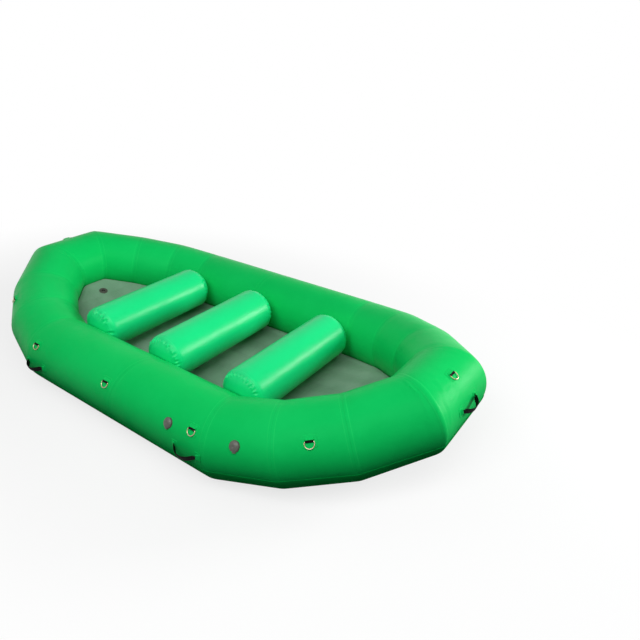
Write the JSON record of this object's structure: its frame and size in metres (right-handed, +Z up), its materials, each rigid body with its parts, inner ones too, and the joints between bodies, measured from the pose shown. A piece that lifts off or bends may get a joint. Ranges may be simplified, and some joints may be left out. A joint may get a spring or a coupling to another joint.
{
  "type": "whitewater raft",
  "caption": "Self-bailing whitewater raft with kicked-up ends, three inflated thwarts, an inflated floor, D-rings, carry handles and capped valves.",
  "frame": {"origin": "on the ground under the middle of the raft", "axes": "+X to the bow, +Y to port, +Z up"},
  "size_m": [4.3752, 2.2478, 0.7321],
  "materials": {
    "tube_fabric": "satin coated fabric, bright green",
    "thwart_fabric": "satin coated fabric, bright green",
    "chafer_fabric": "matt coated fabric, darker green",
    "floor_fabric": "satin coated fabric, grey green",
    "valve_plastic": "moulded, semi-matt grey brown",
    "seal_rubber": "moulded, matt black",
    "ring_steel": "welded stainless wire",
    "spring_steel": "bright wire",
    "webbing": "woven black webbing"
  },
  "bodies": {
    "hull": {"starboard_tube": "tube_fabric", "port_tube": "tube_fabric", "bow_tube": "tube_fabric", "stern_tube": "tube_fabric", "bottom_chafer": "chafer_fabric", "forward_thwart": "thwart_fabric", "middle_thwart": "thwart_fabric", "aft_thwart": "thwart_fabric", "inflatable_floor": "floor_fabric", "floor_flange": "chafer_fabric", "relief_valve_body": "valve_plastic", "relief_valve_spring": "spring_steel", "valve_body_starboard": "valve_plastic", "valve_body_bow": "valve_plastic", "valve_body_port": "valve_plastic", "valve_body_stern": "valve_plastic", "valve_body_forward_thwart": "valve_plastic", "valve_body_middle_thwart": "valve_plastic", "valve_body_aft_thwart": "valve_plastic", "valve_spring_starboard": "spring_steel", "valve_spring_bow": "spring_steel", "valve_spring_port": "spring_steel", "valve_spring_stern": "spring_steel", "valve_spring_forward_thwart": "spring_steel", "valve_spring_middle_thwart": "spring_steel", "valve_spring_aft_thwart": "spring_steel"},
    "relief_valve_poppet": {"relief_valve_poppet": "seal_rubber"},
    "dring_starboard_fore": {"dring_starboard_fore": "ring_steel"},
    "dring_starboard_mid": {"dring_starboard_mid": "ring_steel"},
    "dring_starboard_aft": {"dring_starboard_aft": "ring_steel"},
    "dring_port_fore": {"dring_port_fore": "ring_steel"},
    "dring_port_mid": {"dring_port_mid": "ring_steel"},
    "dring_port_aft": {"dring_port_aft": "ring_steel"},
    "dring_bow_starboard": {"dring_bow_starboard": "ring_steel"},
    "dring_bow": {"dring_bow": "ring_steel"},
    "dring_bow_port": {"dring_bow_port": "ring_steel"},
    "dring_stern_starboard": {"dring_stern_starboard": "ring_steel"},
    "dring_stern": {"dring_stern": "ring_steel"},
    "dring_stern_port": {"dring_stern_port": "ring_steel"},
    "handle_starboard_fore": {"handle_starboard_fore": "webbing"},
    "handle_starboard_aft": {"handle_starboard_aft": "webbing"},
    "handle_port_fore": {"handle_port_fore": "webbing"},
    "handle_port_aft": {"handle_port_aft": "webbing"},
    "handle_bow": {"handle_bow": "webbing"},
    "handle_stern": {"handle_stern": "webbing"},
    "cap_starboard": {"cap_starboard": "valve_plastic"},
    "cap_bow": {"cap_bow": "valve_plastic"},
    "cap_port": {"cap_port": "valve_plastic"},
    "cap_stern": {"cap_stern": "valve_plastic"},
    "cap_forward_thwart": {"cap_forward_thwart": "valve_plastic"},
    "cap_middle_thwart": {"cap_middle_thwart": "valve_plastic"},
    "cap_aft_thwart": {"cap_aft_thwart": "valve_plastic"},
    "valve_plunger_starboard": {"valve_plunger_starboard": "seal_rubber"},
    "valve_plunger_bow": {"valve_plunger_bow": "seal_rubber"},
    "valve_plunger_port": {"valve_plunger_port": "seal_rubber"},
    "valve_plunger_stern": {"valve_plunger_stern": "seal_rubber"},
    "valve_plunger_forward_thwart": {"valve_plunger_forward_thwart": "seal_rubber"},
    "valve_plunger_middle_thwart": {"valve_plunger_middle_thwart": "seal_rubber"},
    "valve_plunger_aft_thwart": {"valve_plunger_aft_thwart": "seal_rubber"}
  },
  "joints": [
    {"name": "dring_starboard_fore_swing", "type": "hinge", "parent": "hull", "child": "dring_starboard_fore", "pos_m": [0.84, -1.01659, 0.41693], "axis": [-1, 0, 0], "range_deg": [0, 160]},
    {"name": "dring_starboard_mid_swing", "type": "hinge", "parent": "hull", "child": "dring_starboard_mid", "pos_m": [0, -1.01659, 0.41693], "axis": [-1, 0, 0], "range_deg": [0, 160]},
    {"name": "dring_starboard_aft_swing", "type": "hinge", "parent": "hull", "child": "dring_starboard_aft", "pos_m": [-0.84, -1.01659, 0.41693], "axis": [-1, 0, 0], "range_deg": [0, 160]},
    {"name": "dring_port_fore_swing", "type": "hinge", "parent": "hull", "child": "dring_port_fore", "pos_m": [0.84, 1.01659, 0.41693], "axis": [1, 0, 0], "range_deg": [0, 160]},
    {"name": "dring_port_mid_swing", "type": "hinge", "parent": "hull", "child": "dring_port_mid", "pos_m": [0, 1.01659, 0.41693], "axis": [1, 0, 0], "range_deg": [0, 160]},
    {"name": "dring_port_aft_swing", "type": "hinge", "parent": "hull", "child": "dring_port_aft", "pos_m": [-0.84, 1.01659, 0.41693], "axis": [1, 0, 0], "range_deg": [0, 160]},
    {"name": "dring_bow_starboard_swing", "type": "hinge", "parent": "hull", "child": "dring_bow_starboard", "pos_m": [1.53892, -0.79032, 0.50927], "axis": [-0.8333, -0.5207, -0.1857], "range_deg": [0, 160]},
    {"name": "dring_bow_swing", "type": "hinge", "parent": "hull", "child": "dring_bow", "pos_m": [2.01205, 0, 0.70355], "axis": [0, -1, 0], "range_deg": [0, 160]},
    {"name": "dring_bow_port_swing", "type": "hinge", "parent": "hull", "child": "dring_bow_port", "pos_m": [1.53892, 0.79032, 0.50927], "axis": [0.8333, -0.5207, 0.1857], "range_deg": [0, 160]},
    {"name": "dring_stern_starboard_swing", "type": "hinge", "parent": "hull", "child": "dring_stern_starboard", "pos_m": [-1.53892, -0.79032, 0.50927], "axis": [-0.8333, 0.5207, 0.1857], "range_deg": [0, 160]},
    {"name": "dring_stern_swing", "type": "hinge", "parent": "hull", "child": "dring_stern", "pos_m": [-2.01205, 0, 0.70355], "axis": [0, 1, 0], "range_deg": [0, 160]},
    {"name": "dring_stern_port_swing", "type": "hinge", "parent": "hull", "child": "dring_stern_port", "pos_m": [-1.53892, 0.79032, 0.50927], "axis": [0.8333, 0.5207, -0.1857], "range_deg": [0, 160]},
    {"name": "handle_starboard_fore_swing", "type": "hinge", "parent": "hull", "child": "handle_starboard_fore", "pos_m": [0.817, -1.073, 0.27922], "axis": [-1, 0, 0], "range_deg": [-10, 56]},
    {"name": "handle_starboard_aft_swing", "type": "hinge", "parent": "hull", "child": "handle_starboard_aft", "pos_m": [-0.817, -1.073, 0.27922], "axis": [-1, 0, 0], "range_deg": [-10, 56]},
    {"name": "handle_port_fore_swing", "type": "hinge", "parent": "hull", "child": "handle_port_fore", "pos_m": [0.817, 1.073, 0.27922], "axis": [1, 0, 0], "range_deg": [-10, 56]},
    {"name": "handle_port_aft_swing", "type": "hinge", "parent": "hull", "child": "handle_port_aft", "pos_m": [-0.817, 1.073, 0.27922], "axis": [1, 0, 0], "range_deg": [-10, 56]},
    {"name": "handle_bow_swing", "type": "hinge", "parent": "hull", "child": "handle_bow", "pos_m": [2.13679, 0, 0.54123], "axis": [0, -1, 0], "range_deg": [-2, 66]},
    {"name": "handle_stern_swing", "type": "hinge", "parent": "hull", "child": "handle_stern", "pos_m": [-2.13679, 0, 0.54123], "axis": [0, 1, 0], "range_deg": [-2, 66]},
    {"name": "cap_starboard_open", "type": "hinge", "parent": "hull", "child": "cap_starboard", "pos_m": [0.643, -1.05354, 0.35361], "axis": [1, 0, 0], "range_deg": [0, 150]},
    {"name": "valve_starboard_push", "type": "slide", "parent": "hull", "child": "valve_plunger_starboard", "axis": [0, 0.866, -0.5], "range_m": [0, 0.004], "stiffness_N_per_m": 300, "springref_m": -0.002, "deforming": ["valve_spring_starboard"]},
    {"name": "cap_bow_open", "type": "hinge", "parent": "hull", "child": "cap_bow", "pos_m": [1.15548, -0.99436, 0.38168], "axis": [0.9507, 0.2726, 0.1478], "range_deg": [0, 150]},
    {"name": "valve_bow_push", "type": "slide", "parent": "hull", "child": "valve_plunger_bow", "axis": [-0.1677, 0.8528, -0.4945], "range_m": [0, 0.004], "stiffness_N_per_m": 300, "springref_m": -0.002, "deforming": ["valve_spring_bow"]},
    {"name": "cap_port_open", "type": "hinge", "parent": "hull", "child": "cap_port", "pos_m": [-0.643, 1.05354, 0.35361], "axis": [-1, 0, 0], "range_deg": [0, 150]},
    {"name": "valve_port_push", "type": "slide", "parent": "hull", "child": "valve_plunger_port", "axis": [0, -0.866, -0.5], "range_m": [0, 0.004], "stiffness_N_per_m": 300, "springref_m": -0.002, "deforming": ["valve_spring_port"]},
    {"name": "cap_stern_open", "type": "hinge", "parent": "hull", "child": "cap_stern", "pos_m": [-1.15548, 0.99436, 0.38168], "axis": [-0.9507, -0.2726, 0.1478], "range_deg": [0, 150]},
    {"name": "valve_stern_push", "type": "slide", "parent": "hull", "child": "valve_plunger_stern", "axis": [0.1677, -0.8528, -0.4945], "range_m": [0, 0.004], "stiffness_N_per_m": 300, "springref_m": -0.002, "deforming": ["valve_spring_stern"]},
    {"name": "cap_forward_thwart_open", "type": "hinge", "parent": "hull", "child": "cap_forward_thwart", "pos_m": [0.5923, -0.35, 0.3113], "axis": [0, -1, 0], "range_deg": [0, 150]},
    {"name": "valve_forward_thwart_push", "type": "slide", "parent": "hull", "child": "valve_plunger_forward_thwart", "axis": [1, 0, 0], "range_m": [0, 0.004], "stiffness_N_per_m": 300, "springref_m": -0.002, "deforming": ["valve_spring_forward_thwart"]},
    {"name": "cap_middle_thwart_open", "type": "hinge", "parent": "hull", "child": "cap_middle_thwart", "pos_m": [-0.1827, -0.35, 0.3113], "axis": [0, -1, 0], "range_deg": [0, 150]},
    {"name": "valve_middle_thwart_push", "type": "slide", "parent": "hull", "child": "valve_plunger_middle_thwart", "axis": [1, 0, 0], "range_m": [0, 0.004], "stiffness_N_per_m": 300, "springref_m": -0.002, "deforming": ["valve_spring_middle_thwart"]},
    {"name": "cap_aft_thwart_open", "type": "hinge", "parent": "hull", "child": "cap_aft_thwart", "pos_m": [-0.9577, -0.35, 0.3113], "axis": [0, -1, 0], "range_deg": [0, 150]},
    {"name": "valve_aft_thwart_push", "type": "slide", "parent": "hull", "child": "valve_plunger_aft_thwart", "axis": [1, 0, 0], "range_m": [0, 0.004], "stiffness_N_per_m": 300, "springref_m": -0.002, "deforming": ["valve_spring_aft_thwart"]},
    {"name": "relief_valve_lift", "type": "slide", "parent": "hull", "child": "relief_valve_poppet", "axis": [0.4141, 0, 0.9102], "range_m": [0, 0.004], "stiffness_N_per_m": 300, "springref_m": -0.002, "deforming": ["relief_valve_spring"]}
  ]
}
